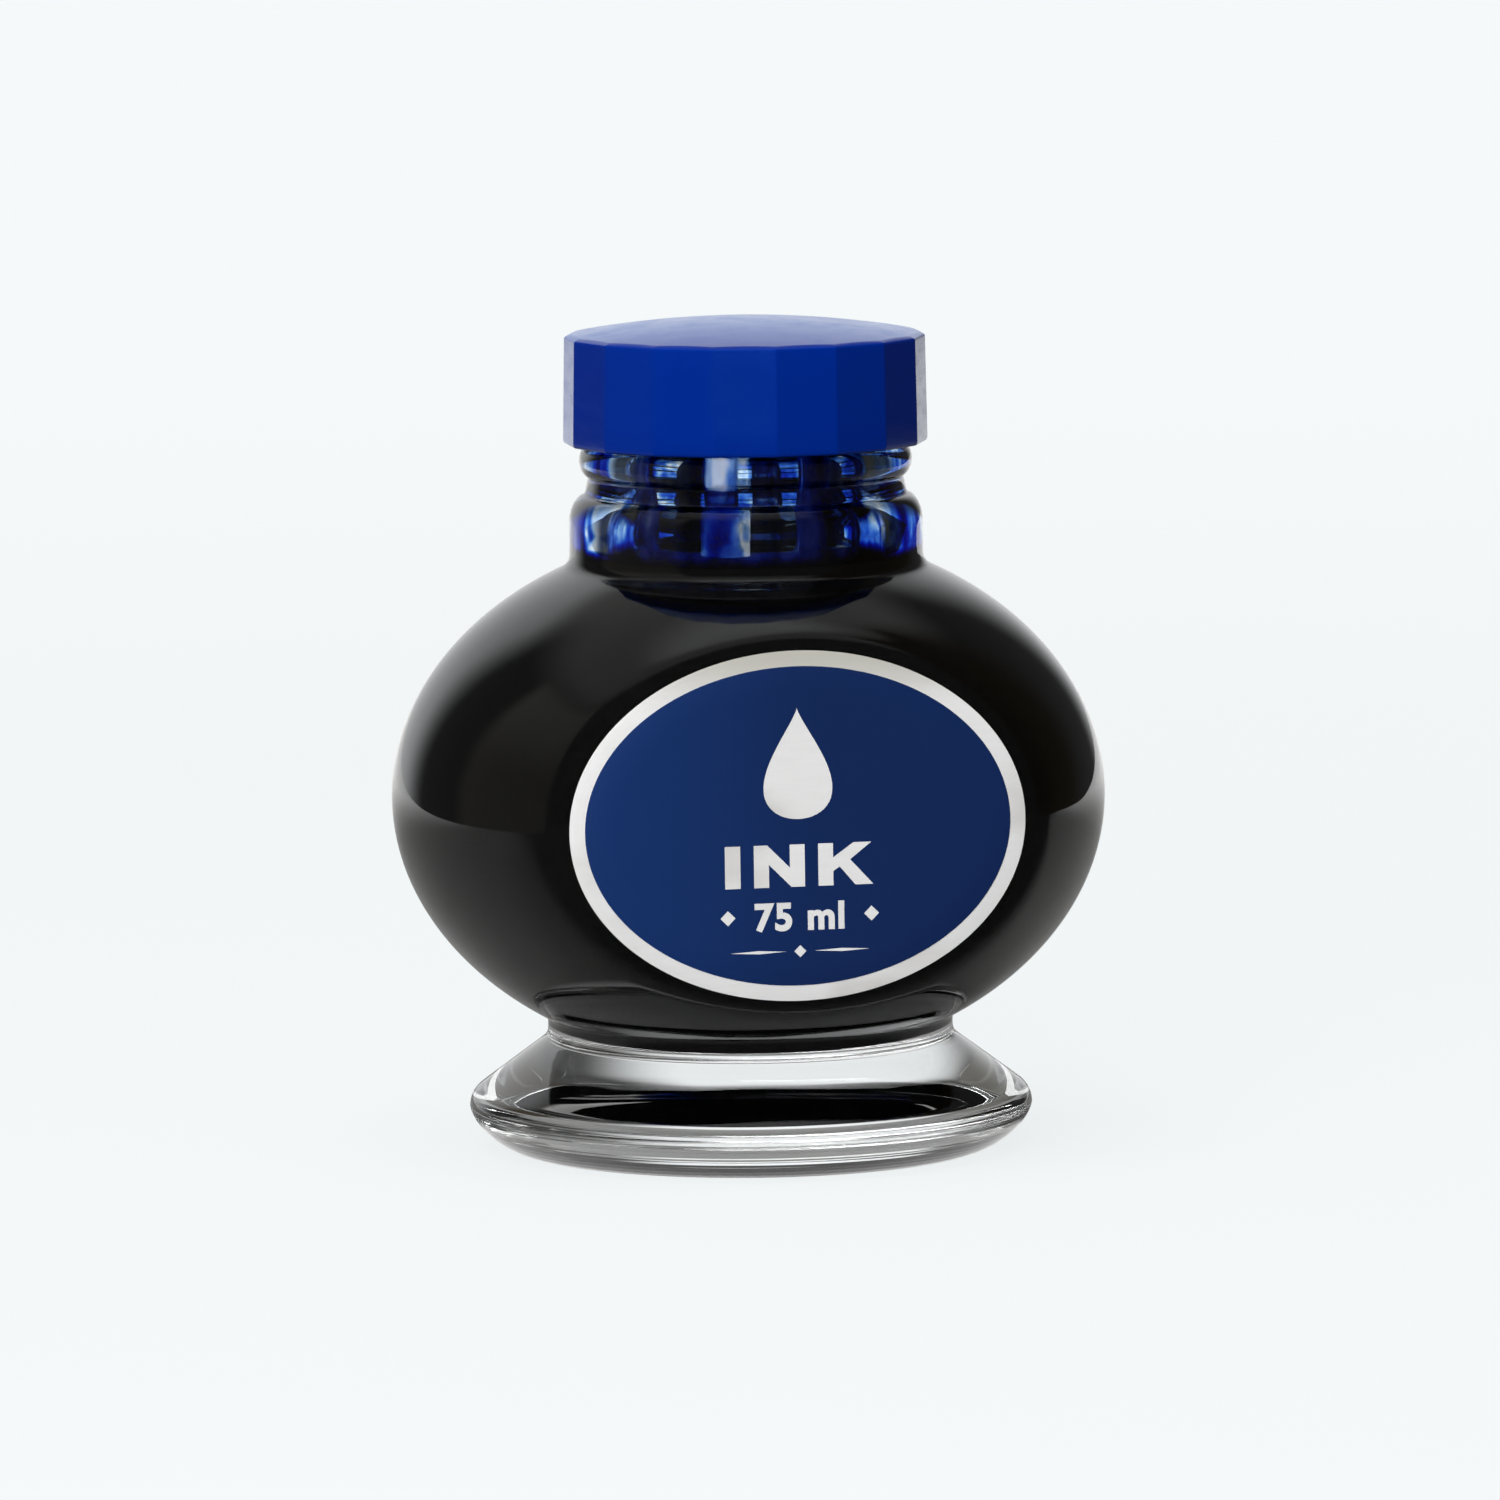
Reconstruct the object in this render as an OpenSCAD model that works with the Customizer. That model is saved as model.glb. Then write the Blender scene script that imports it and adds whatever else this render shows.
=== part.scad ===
// Ink bottle: a squat glass flask on a clear flared foot, with a faceted screw cap, a loose
// sealing disc, a reservoir insert that hangs in the neck, and an oval foil label on the
// flat front panel. Millimetres, +Z up. The table plane is z = 0 and the label faces -Y.

/* [Glass body] */
// Width of the body across its widest ring
body_w = 71.6; // [70:0.2:74]
// Height of the widest ring above the table
body_z = 35.45; // [35:0.05:35.8]
// Distance from the widest ring up to the top of the ellipse that the body's profile follows
body_rise = 26.9; // [26.5:0.05:27.2]
// Distance from the widest ring down to the bottom of that ellipse
body_drop = 27.05; // [26.7:0.05:27.4]
// Depth of the body between its two flat panels
panel_depth = 52; // [50:0.5:56]
// Radius of the hollow at its widest ring
hollow_a = 27.8; // [27:0.1:30]
// Distance from the hollow's widest ring up to the top of the ellipse that its profile follows
hollow_c = 21.6; // [20.5:0.1:22]
// Distance from the hollow's widest ring down to its floor
hollow_drop = 26.2; // [22:0.1:26.6]
// How squarely the hollow's floor turns up into its sides, 2 for an ellipse and more for squarer
hollow_square = 2.7; // [2:0.1:2.8]
// Height of the hollow's widest ring above the table
hollow_z = 36.2; // [35.6:0.1:36.8]
// Glass thickness behind each flat panel
panel_wall = 3.7; // [3:0.1:5]

/* [Foot] */
// Radius of the foot at its ridge, where it is widest
foot_r = 28.3; // [27.8:0.1:29]
// Height of the ridge above the table
ridge_z = 4.2; // [3.5:0.05:4.4]
// Radius that rounds the ridge
ridge_round = 2.35; // [2:0.05:3.5]
// Angle of the foot's upper cone above the horizontal
cone_angle = 36.5; // [35:0.5:39]
// Radius of the waist between foot and body
waist_r = 20.35; // [19.8:0.05:20.8]
// Outer radius of the flat ring that stands on the table
rest_r_out = 23.6; // [23.4:0.1:25.5]
// How the glass rises from the rest ring to the ridge: 2 is a quarter ellipse, 1 is straight
rim_square = 1.5; // [1.4:0.1:2]
// Inner radius of the flat ring that stands on the table
rest_r_in = 21; // [19:0.5:23]
// Height of the hollow pushed up under the foot
push_up = 0.3; // [0.2:0.1:3]

/* [Neck] */
// Radius of the lower neck
neck_r = 17.75; // [17.5:0.05:18]
// Height where the lower neck starts to round in
neck_top_z = 63; // [62.6:0.1:63.4]
// Radius at the bottom of the notch above the lower neck
notch_r = 15.8; // [15.6:0.05:16]
// Height where the neck's rounding ends in the notch
notch_z = 65.9; // [65.5:0.1:66.2]
// Radius of the bead just under the cap
bead_r = 16.7; // [16.5:0.05:16.9]
// Height of the bead's middle
bead_z = 69.2; // [69:0.1:69.3]
// Radius of the finish under its thread
finish_r = 14.75; // [14.6:0.05:14.9]
// Height of the glass rim
rim_z = 78.4; // [78.2:0.1:78.6]
// Radius of the bore through the finish
bore_r = 12; // [11.8:0.1:12.2]
// Radius of the wider hollow in the lower neck
neck_hollow_r = 14; // [13.5:0.1:14.5]

/* [Thread] */
// Rise of the thread in one turn
lead = 3.2; // [3.1:0.1:3.3]
// Radius at the crest of the thread on the glass
glass_crest_r = 15.95; // [15.8:0.05:16]
// Radius at the crest of the thread in the cap
cap_crest_r = 15.1; // [15.05:0.05:15.3]
// Width of a thread ridge at its foot
ridge_foot_w = 1.9; // [1.6:0.1:2]
// Width of a thread ridge at its crest
ridge_crest_w = 0.9; // [0.7:0.1:1]

/* [Cap] */
// Number of flat sides round the cap
cap_sides = 18; // [16:2:20]
// Radius of the cap across its corners
cap_r = 18.25; // [18.1:0.05:18.6]
// Angle from straight ahead to the middle of one side, when the cap is screwed down
cap_phase = -10.8; // [-20:0.1:20]
// Height of the cap's lower edge
skirt_z = 70.9; // [70.8:0.1:71.2]
// Height of the edge between the cap's sides and its top
brow_z = 81.7; // [81.5:0.1:81.9]
// Height of the middle of the domed top, the bottle's overall height
top_z = 83.4; // [83:0.1:84]
// Radius of the cap's bore
cap_bore_r = 16.3; // [16.2:0.05:16.5]
// Height of the flat ceiling inside the cap
ceiling_z = 80.2; // [80.1:0.1:80.4]
// Radius of the sealing disc
liner_r = 15.6; // [15.4:0.1:15.8]
// Chamfer on the cap's lower edge
skirt_chamfer = 0.35; // [0.2:0.05:0.5]

/* [Reservoir insert] */
// Thickness of the insert's wall
insert_wall = 1; // [0.8:0.1:1.2]
// Radius of the flange that rests on the glass rim
flange_r = 14.2; // [13.5:0.1:14.5]
// Thickness of the flange
flange_t = 0.8; // [0.6:0.1:0.9]
// Outer radius of the collar in the bore
collar_r = 11.85; // [11.5:0.05:11.9]
// Outer radius of the cup at its top
cup_top_r = 11.3; // [10.5:0.1:11.5]
// Outer radius of the cup just above its rounded end
cup_end_r = 6.6; // [5.5:0.1:8]
// Radius that rounds the closed end of the cup
cup_round = 2.5; // [2:0.1:4]
// Height of the bottom of the cup
cup_z = 18; // [17:0.5:24]
// Number of windows round the collar
windows = 8; // [6:1:10]
// Width of a window
window_w = 5.8; // [4:0.1:6]
// Height of the lower edge of the windows
window_z = 61; // [60.8:0.1:62]
// Height of the upper edge of the windows
window_top_z = 73.5; // [72:0.5:75]

/* [Ink] */
// Height of the ink in the bottle
ink_z = 59; // [40:0.5:60]
// Height of the ink in the cup
well_ink_z = 60.3; // [30:0.1:60.5]

/* [Label] */
// Width of the foil oval
label_w = 45.7; // [44:0.1:47]
// Height of the foil oval
label_h = 34.7; // [34:0.1:35.5]
// Height of the label's middle above the table
label_z = 35.25; // [35:0.05:35.6]
// Tilt of the label, as it was stuck on
label_tilt = 0.4; // [-1:0.1:1]
// Width of the bare foil ring round the print
foil_ring = 1.54; // [1:0.01:3]
// Thickness of the foil
foil_t = 0.1; // [0.08:0.01:0.15]
// Thickness of the printed layer
print_t = 0.06; // [0.05:0.01:0.1]

/* [Hidden] */
$fn = 96;

body_a = body_w / 2;
arc_step = 3;              // degrees between points on a round stretch of a profile
floor_steps = 18;          // steps between points along the profile of the hollow's floor
rim_steps = 10;             // steps between points along the round under the ridge
gap = 0.05;                // clearance between pieces that touch in use
sink = 0.4;                // how far a thread ridge reaches into the wall that carries it
runout = 30;               // degrees over which a thread ridge fades at each end
ridge_step = 10;           // degrees between the sections of a thread ridge
glass_thread_z = 72.6;     // height of the glass thread's middle at angle zero
glass_thread = [0, 510];   // first and last angle of the thread on the glass
cap_thread = [200, 600];   // first and last angle of the thread in the cap
cone_fillet = 1.6;         // radius between the foot's cone and the waist
waist_fillet = 0.8;        // radius between the waist and the body
neck_fillet = 1.5;         // radius between the body and the neck
rim_round = 0.6;           // radius of the glass rim's outer edge
reach = 100;               // longer than any piece

// Height of a quarter ellipse's profile at radius r; rise is negative for the lower half
function ellipse_z(a, rise, z_mid, r) = z_mid + rise * sqrt(1 - pow(r / a, 2));

// Slope of that profile there, in degrees from the horizontal
function ellipse_slope(a, rise, r) = atan(abs(rise) * r / (a * a * sqrt(1 - pow(r / a, 2))));

// Points of an elliptical arc about a centre, from one angle to another
function arc_points(centre, rx, rz, from, to, n = 8) =
    [for (i = [0:n]) let (t = from + (to - from) * i / n) centre + [rx * cos(t), rz * sin(t)]];

// Points of a quarter ellipse's profile about the axis, between two radii on its way up
function ellipse_points(a, rise, z_mid, r_from, r_to) =
    let (side = sign(rise), t0 = side * acos(min(1, r_from / a)), t1 = side * acos(min(1, r_to / a)))
    arc_points([0, z_mid], a, abs(rise), t0, t1, ceil(abs(t1 - t0) / arc_step));

// A squared quarter ellipse, from the axis at its lowest point out to its widest ring
function floor_points(a, drop, z_mid, square) =
    [for (i = [0:floor_steps]) let (t = 90 * i / floor_steps)
        [a * pow(sin(t), 2 / square), z_mid - drop * pow(cos(t), 2 / square)]];

// The flattened round under the ridge, from the rest ring outwards and up to the widest ring
function rim_points(inner, outer, height, square) =
    [for (i = [0:rim_steps]) let (t = 90 * i / rim_steps)
        [inner + (outer - inner) * pow(sin(t), 2 / square), height * (1 - pow(cos(t), 2 / square))]];

// An arc in place of a corner, between the directions of travel before and after it
function fillet(corner, from, to, r, n = 4) =
    let (turn = sign(to - from), t = r * tan(abs(to - from) / 2),
         centre = corner - t * [cos(from), sin(from)] + turn * r * [-sin(from), cos(from)])
    arc_points(centre, r, r, from - 90 * turn, to - 90 * turn, n);

// A slab that keeps what lies between two planes facing -Y and +Y
module slab(depth) {
    translate([-reach / 2, -depth / 2, 0])
        cube([reach, depth, reach]);
}

// Everything below a height
module below(z) {
    translate([-reach / 2, -reach / 2, 0])
        cube([reach, reach, z]);
}

// A thread ridge: a trapezoid swept along a helix, sunk into the wall that carries it.
// wall_r is the wall's radius, crest_r the ridge's, and z0 the middle's height at angle zero.
module thread_ridge(wall_r, crest_r, z0, span) {
    out = sign(crest_r - wall_r);
    steps = ceil((span[1] - span[0]) / ridge_step);
    end_height = 0.15 / abs(crest_r - wall_r);
    angles = [for (i = [0:steps]) span[0] + (span[1] - span[0]) * i / steps];
    points = [for (a = angles)
        let (fade = min(1, (a - span[0]) / runout, (span[1] - a) / runout),
             crest = wall_r + (crest_r - wall_r) * (end_height + (1 - end_height) * fade),
             root = wall_r - out * sink,
             z = z0 + lead * a / 360,
             inner_r = min(crest, root), outer_r = max(crest, root),
             inner_w = out > 0 ? ridge_foot_w : ridge_crest_w,
             outer_w = out > 0 ? ridge_crest_w : ridge_foot_w)
        for (p = [[inner_r, -inner_w], [outer_r, -outer_w], [outer_r, outer_w], [inner_r, inner_w]])
            [p[0] * cos(a), p[0] * sin(a), z + p[1] / 2]];
    sides = [for (i = [0:steps - 1]) for (j = [0:3])
        let (k = (j + 1) % 4, here = 4 * i, next = 4 * (i + 1))
        each [[here + j, here + k, next + k], [here + j, next + k, next + j]]];
    last = 4 * steps;
    ends = [[3, 2, 1], [3, 1, 0], [last, last + 1, last + 2], [last, last + 2, last + 3]];
    polyhedron(points = points, faces = concat(sides, ends), convexity = 10);
}

// The foot's outline: a pushed-up underside, a flat rest ring, a rounded ridge and a cone
function foot_outline() =
    let (ridge_centre = [foot_r - ridge_round, ridge_z],
         cone_start = ridge_centre + ridge_round * [sin(cone_angle), cos(cone_angle)],
         waist = [waist_r, cone_start[1] + (cone_start[0] - waist_r) * tan(cone_angle)])
    concat(
        [for (i = [0:7]) [rest_r_in * i / 7, push_up * (1 - pow(i / 7, 2))]],
        rim_points(rest_r_out, foot_r, ridge_z, rim_square),
        arc_points(ridge_centre, ridge_round, ridge_round, 0, 90 - cone_angle, 5),
        fillet(waist, 180 - cone_angle, 90, cone_fillet));

// The body's outline, from the waist to the lower neck
function body_outline() =
    let (waist_slope = ellipse_slope(body_a, body_drop, waist_r),
         neck_slope = ellipse_slope(body_a, body_rise, neck_r))
    concat(
        fillet([waist_r, ellipse_z(body_a, -body_drop, body_z, waist_r)], 90, waist_slope, waist_fillet),
        ellipse_points(body_a, -body_drop, body_z, waist_r + waist_fillet, body_a),
        ellipse_points(body_a, body_rise, body_z, body_a, neck_r + neck_fillet),
        fillet([neck_r, ellipse_z(body_a, body_rise, body_z, neck_r)], 180 - neck_slope, 90, neck_fillet));

// The neck's outline: the rounding into the notch, the bead, and the finish up to its rim
function neck_outline() = concat(
    arc_points([notch_r, neck_top_z], neck_r - notch_r, notch_z - neck_top_z, 0, 80, 7),
    arc_points([notch_r - 0.3, bead_z], bead_r - notch_r + 0.3, 1.7, -75, 75, 10),
    [[finish_r, bead_z + 1.9]],
    arc_points([finish_r - rim_round, rim_z - rim_round], rim_round, rim_round, 0, 90, 4),
    [[0, rim_z]]);

// The hollow of the body and of the neck, drawn smaller by a clearance where ink fills it
module hollow(inset = 0) {
    a = hollow_a - inset;
    c = hollow_c - inset;
    drop = hollow_drop - inset;
    neck_hollow = neck_hollow_r - inset;
    intersection() {
        rotate_extrude()
            polygon(concat(
                floor_points(a, drop, hollow_z, hollow_square),
                ellipse_points(a, c, hollow_z, a, neck_hollow),
                [[neck_hollow, neck_top_z + 1.3], [bore_r - inset, neck_top_z + 5],
                 [bore_r - inset, reach], [0, reach]]));
        slab(panel_depth - 2 * (panel_wall + inset));
    }
}

module glass_bottle() {
    panel_bottom = body_z - body_drop / 1.3;
    panel_top = body_z + body_rise / 1.3;
    color([0.86, 0.90, 0.90, 0.35])
        difference() {
            union() {
                rotate_extrude()
                    polygon(concat(foot_outline(), body_outline(), neck_outline()));
                thread_ridge(finish_r, glass_crest_r, glass_thread_z, glass_thread);
            }
            for (side = [-1, 1])
                translate([-reach / 2, side * (panel_depth + reach) / 2 - reach / 2, panel_bottom])
                    cube([reach, reach, panel_top - panel_bottom]);
            hollow();
        }
}

// Outline of the insert's outside, grown by a clearance where the ink meets it
function insert_outside(grow = 0) = concat(
    [[0, cup_z - grow]],
    arc_points([cup_end_r - cup_round, cup_z + cup_round], cup_round + grow, cup_round + grow, -90, 0, 5),
    [[cup_top_r + grow, window_z - 1], [collar_r + grow, notch_z]]);

// Outline of the insert's inside, shrunk by a clearance where the ink meets it
function insert_inside(shrink = 0) =
    let (round = cup_round - insert_wall - shrink, reduce = insert_wall + shrink)
    concat(
        [[0, cup_z + reduce]],
        arc_points([cup_end_r - cup_round, cup_z + cup_round], round, round, -90, 0, 5),
        [[cup_top_r - reduce, window_z - 1], [collar_r - reduce, notch_z],
         [collar_r - reduce, reach], [0, reach]]);

// A closed cup that hangs in the bore from its flange and fills through its windows when the
// capped bottle is turned over, so that a pen still finds deep ink in a nearly empty bottle
module reservoir_insert() {
    color([0.55, 0.62, 0.78])
        difference() {
            rotate_extrude()
                polygon(concat(
                    insert_outside(),
                    [[collar_r, rim_z], [flange_r, rim_z], [flange_r, rim_z + flange_t],
                     [0, rim_z + flange_t]]));
            rotate_extrude()
                polygon(insert_inside());
            for (i = [0:windows - 1])
                rotate([0, 0, 360 * i / windows])
                    translate([0, -window_w / 2, window_z])
                        cube([reach, window_w, window_top_z - window_z]);
        }
}

module ink_fill() {
    color([0.02, 0.02, 0.08])
        intersection() {
            difference() {
                hollow(gap);
                rotate_extrude()
                    polygon(concat(insert_outside(gap), [[collar_r + gap, reach], [0, reach]]));
            }
            below(ink_z);
        }
}

module well_ink() {
    color([0.02, 0.03, 0.12])
        intersection() {
            rotate_extrude()
                polygon(insert_inside(gap));
            below(well_ink_z);
        }
}

// The cap's flat-sided outline: the middle of one side faces cap_phase from straight ahead
module cap_outline() {
    polygon([for (i = [0:cap_sides - 1])
        let (a = -90 + cap_phase + 360 * (i + 0.5) / cap_sides)
        cap_r * [cos(a), sin(a)]]);
}

module cap() {
    dome_rise = top_z - brow_z;
    dome_r = (pow(cap_r, 2) + pow(dome_rise, 2)) / (2 * dome_rise);
    lower_edge_r = cap_r * cos(180 / cap_sides) - skirt_chamfer;
    color([0.0, 0.14, 0.55]) {
        difference() {
            intersection() {
                translate([0, 0, skirt_z])
                    linear_extrude(top_z - skirt_z)
                        cap_outline();
                translate([0, 0, top_z - dome_r])
                    sphere(dome_r);
                translate([0, 0, skirt_z])
                    cylinder(h = reach, r1 = lower_edge_r, r2 = lower_edge_r + reach);
            }
            translate([0, 0, skirt_z - 1])
                cylinder(h = ceiling_z - skirt_z + 1, r = cap_bore_r);
        }
        thread_ridge(cap_bore_r, cap_crest_r, glass_thread_z - lead / 2, cap_thread);
    }
}

// A loose disc that the cap's thread keeps from falling out
module cap_liner() {
    liner_z = rim_z + flange_t + gap;
    color([0.92, 0.92, 0.90])
        translate([0, 0, liner_z])
            cylinder(h = ceiling_z - gap - liner_z, r = liner_r);
}

// A thin oval plate on the front panel; lift is its distance in front of the glass
module oval_plate(width, height, thickness, lift) {
    translate([0, -panel_depth / 2 - lift, label_z])
        rotate([90, 0, 0])
            rotate([0, 0, label_tilt])
                linear_extrude(thickness)
                    polygon(arc_points([0, 0], width / 2, height / 2, 0, 360 - 360 / $fn, $fn - 1));
}

module label_foil() {
    color([0.80, 0.81, 0.82])
        oval_plate(label_w, label_h, foil_t, 0);
}

module label_print() {
    color([0.10, 0.17, 0.43])
        oval_plate(label_w - 2 * foil_ring, label_h - 2 * foil_ring, print_t, foil_t);
}

glass_bottle();
reservoir_insert();
ink_fill();
well_ink();
cap();
cap_liner();
label_foil();
label_print();
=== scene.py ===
import math

import bmesh
import bpy
from mathutils import Matrix, Vector, noise


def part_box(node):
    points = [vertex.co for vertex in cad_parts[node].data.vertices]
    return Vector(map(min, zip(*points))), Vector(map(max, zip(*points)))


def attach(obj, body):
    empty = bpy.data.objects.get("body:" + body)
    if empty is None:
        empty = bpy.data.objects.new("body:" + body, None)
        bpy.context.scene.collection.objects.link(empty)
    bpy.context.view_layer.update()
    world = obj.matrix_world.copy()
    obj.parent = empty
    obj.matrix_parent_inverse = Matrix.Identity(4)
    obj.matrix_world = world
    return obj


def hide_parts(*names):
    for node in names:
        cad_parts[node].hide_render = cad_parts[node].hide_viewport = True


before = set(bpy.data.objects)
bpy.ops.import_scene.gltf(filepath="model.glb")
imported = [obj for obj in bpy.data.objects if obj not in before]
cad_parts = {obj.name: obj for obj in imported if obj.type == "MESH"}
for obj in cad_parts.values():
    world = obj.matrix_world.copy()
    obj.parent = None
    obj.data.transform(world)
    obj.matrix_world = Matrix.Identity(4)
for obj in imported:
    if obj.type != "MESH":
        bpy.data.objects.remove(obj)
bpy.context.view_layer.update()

MM = 0.001

# ---------------------------------------------------------------- sizes, in millimetres and degrees
glass_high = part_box("glass_bottle")[1]
insert_low, insert_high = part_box("reservoir_insert")
ink_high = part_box("ink_fill")[1]
well_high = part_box("well_ink")[1]
cap_low, cap_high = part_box("cap")
liner_low, liner_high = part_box("cap_liner")
foil_low, foil_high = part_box("label_foil")
print_low, print_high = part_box("label_print")

BODY_R = glass_high.x / MM
BODY_Z = 35.45
BODY_RISE = 26.9
BODY_DROP = 27.05
PANEL_Y = 26.0
PANEL_ROUND = 1.5
PANEL_FROM = 14.0                # between these heights a panel can cut the body
PANEL_TO = 57.0
HOLLOW_R = 27.8
HOLLOW_RISE = 21.6
HOLLOW_DROP = 26.2
HOLLOW_SQUARE = 2.7
HOLLOW_Z = 36.2
HOLLOW_PANEL_Y = 22.3

FOOT_R = glass_high.y / MM
RIDGE_Z = 4.2
RIDGE_ROUND = 2.35
CONE_ANGLE = 36.5
WAIST_R = 20.35
REST_OUT = 23.6
RIM_SQUARE = 1.5
REST_IN = 21.0
PUSH_UP = 0.3
CONE_FILLET = 1.6                # between the foot's cone and the waist
WAIST_FILLET = 0.8               # between the waist and the body
RIPPLE = 0.011                   # half the depth of the rim's fine rings
RIPPLE_STEP = 0.42               # height from one of them to the next

NECK_R = 17.75
NECK_TOP_Z = 63.0
NOTCH_R = 15.8
NOTCH_Z = 65.9
BEAD_R = 16.7
BEAD_Z = 69.2
BEAD_HALF = 1.7
NECK_FILLET = 1.5                # between the body and the neck
FINISH_R = 14.75
RIM_Z = glass_high.z / MM
RIM_ROUND = 0.6
BORE_ROUND = 0.35
BORE_R = 12.0
NECK_HOLLOW_R = 14.0

LEAD = 3.2
GLASS_CREST_R = 15.95
CAP_CREST_R = 15.1
THREAD_FOOT = 1.9
THREAD_CREST = 0.9
GLASS_THREAD_Z = 72.6
GLASS_THREAD = (0.0, 510.0)
CAP_THREAD = (200.0, 600.0)
RUNOUT = 30.0

CAP_SIDES = 18
CAP_R = 18.25
CAP_PHASE = -10.8
CAP_DRAFT = 0.18                 # how much further in a side is at its brow than at the skirt
CAP_CORNER = 0.55                # radius between two sides
BROW_ROUND = 0.3                 # radius between the sides and the dome
SKIRT_ROUND = 0.42               # height of the rounding under the sides
SKIRT_Z = cap_low.z / MM
TOP_Z = cap_high.z / MM
BROW_Z = 81.7
CAP_BORE_R = 16.3
CEILING_Z = 80.2
CEILING_ROUND = 0.5
MOUTH_CHAMFER = 0.25

INK_Z = ink_high.z / MM
WELL_INK_Z = well_high.z / MM
CUP_Z = insert_low.z / MM
FLANGE_R = insert_high.x / MM
COLLAR_R = 11.85
CUP_TOP_R = 11.3
CUP_END_R = 6.6
CUP_ROUND = 2.5                  # radius of the cup's lower corner
CUP_WALL = 1.0
FLANGE_T = 0.8
WINDOW_LOW = 61.0
WINDOW_HIGH = 73.5
WINDOW_W = 5.8
WINDOWS = 8

AROUND = 288                     # columns round each turned piece
INK_BITE = 0.05                  # how far the ink reaches into what it wets
BACKDROP = (0.913, 0.947, 0.956, 1)

CAMERA_AZ = -10.8
CAMERA_EL = 6.6
CAMERA_DISTANCE = 1.2
CAMERA_ROLL = -0.5
VIEW_WIDTH = 0.15068
VIEW_RIGHT = 0.0002
VIEW_UP = 0.00437
SENSOR = 36.0


# ---------------------------------------------------------------- profiles
def arc(centre, rx, rz, start, end, step=0.4):
    """Points of an elliptical arc, in (radius, height), no further than step apart."""
    count = max(3, math.ceil(math.radians(abs(end - start)) * max(rx, rz) / step))
    turns = [math.radians(start + (end - start) * i / count) for i in range(count + 1)]
    return [(centre[0] + rx * math.cos(t), centre[1] + rz * math.sin(t)) for t in turns]


def fillet(corner, before, after, radius):
    """An arc in place of a corner between two directions of travel, in degrees."""
    turn = 1 if after > before else -1
    reach = radius * math.tan(math.radians(abs(after - before)) / 2)
    b = math.radians(before)
    centre = (corner[0] - reach * math.cos(b) - turn * radius * math.sin(b),
              corner[1] - reach * math.sin(b) + turn * radius * math.cos(b))
    return arc(centre, radius, radius, before - 90 * turn, after - 90 * turn, radius / 6)


def ellipse_z(a, rise, middle, r):
    return middle + rise * math.sqrt(1 - (r / a) ** 2)


def ellipse_slope(a, rise, r):
    return math.degrees(math.atan(abs(rise) * r / (a * a * math.sqrt(1 - (r / a) ** 2))))


def quarter(a, rise, middle, r_from, r_to, step=0.8):
    """Part of a quarter ellipse about the axis, between two radii on its way up."""
    side = 1 if rise > 0 else -1
    start = side * math.degrees(math.acos(min(1, r_from / a)))
    end = side * math.degrees(math.acos(min(1, r_to / a)))
    return arc((0, middle), a, abs(rise), start, end, step)


def squared_floor(a, drop, middle, square, steps=36):
    """A squared quarter ellipse, from the axis at its lowest point out to its widest ring."""
    turns = [math.pi / 2 * i / steps for i in range(steps + 1)]
    return [(a * math.sin(t) ** (2 / square), middle - drop * abs(math.cos(t)) ** (2 / square))
            for t in turns]


def even(profile, step):
    """The same outline with extra points on its long straight stretches."""
    out = [profile[0]]
    for (r0, z0), (r1, z1) in zip(profile, profile[1:]):
        length = math.hypot(r1 - r0, z1 - z0)
        if length < 1e-4:
            continue
        count = max(1, math.ceil(length / step))
        out += [(r0 + (r1 - r0) * i / count, z0 + (z1 - z0) * i / count) for i in range(1, count + 1)]
    return out


def softened(profile, passes):
    """The outline with its corners eased, ends kept."""
    for _ in range(passes):
        inner = [((a[0] + 2 * b[0] + c[0]) / 4, (a[1] + 2 * b[1] + c[1]) / 4)
                 for a, b, c in zip(profile, profile[1:], profile[2:])]
        profile = [profile[0]] + inner + [profile[-1]]
    return profile


def offset(profile, distance):
    """The outline moved to the right of its direction of travel, ends kept on the axis if they are."""
    out = []
    for i, (r, z) in enumerate(profile):
        before = profile[max(0, i - 1)]
        after = profile[min(len(profile) - 1, i + 1)]
        dr, dz = after[0] - before[0], after[1] - before[1]
        length = math.hypot(dr, dz)
        moved = (r + distance * dz / length, z - distance * dr / length)
        out.append((0.0, moved[1]) if r < 1e-6 else moved)
    return out


def rim_bevel(inner, outer, height, square, steps=64):
    """From the rest ring out and up to the ridge; square 2 is a quarter ellipse, 1 is straight."""
    points = []
    for i in range(steps + 1):
        t = math.pi / 2 * i / steps
        r = inner + (outer - inner) * math.sin(t) ** (2 / square)
        points.append((r, height * (1 - max(0.0, math.cos(t)) ** (2 / square))))
    return points


def rippled(rim):
    """The foot's lower quarter with the fine rings the mould left, all cut inwards."""
    out = [rim[0]]
    for before, (r, z), after in zip(rim, rim[1:], rim[2:]):
        dr, dz = after[0] - before[0], after[1] - before[1]
        length = math.hypot(dr, dz)
        sunk = RIPPLE * (1 - math.cos(2 * math.pi * z / RIPPLE_STEP)) * smooth_step(z, 0, 0.15)
        out.append((r - sunk * dz / length, z + sunk * dr / length))
    return out + [rim[-1]]


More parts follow.
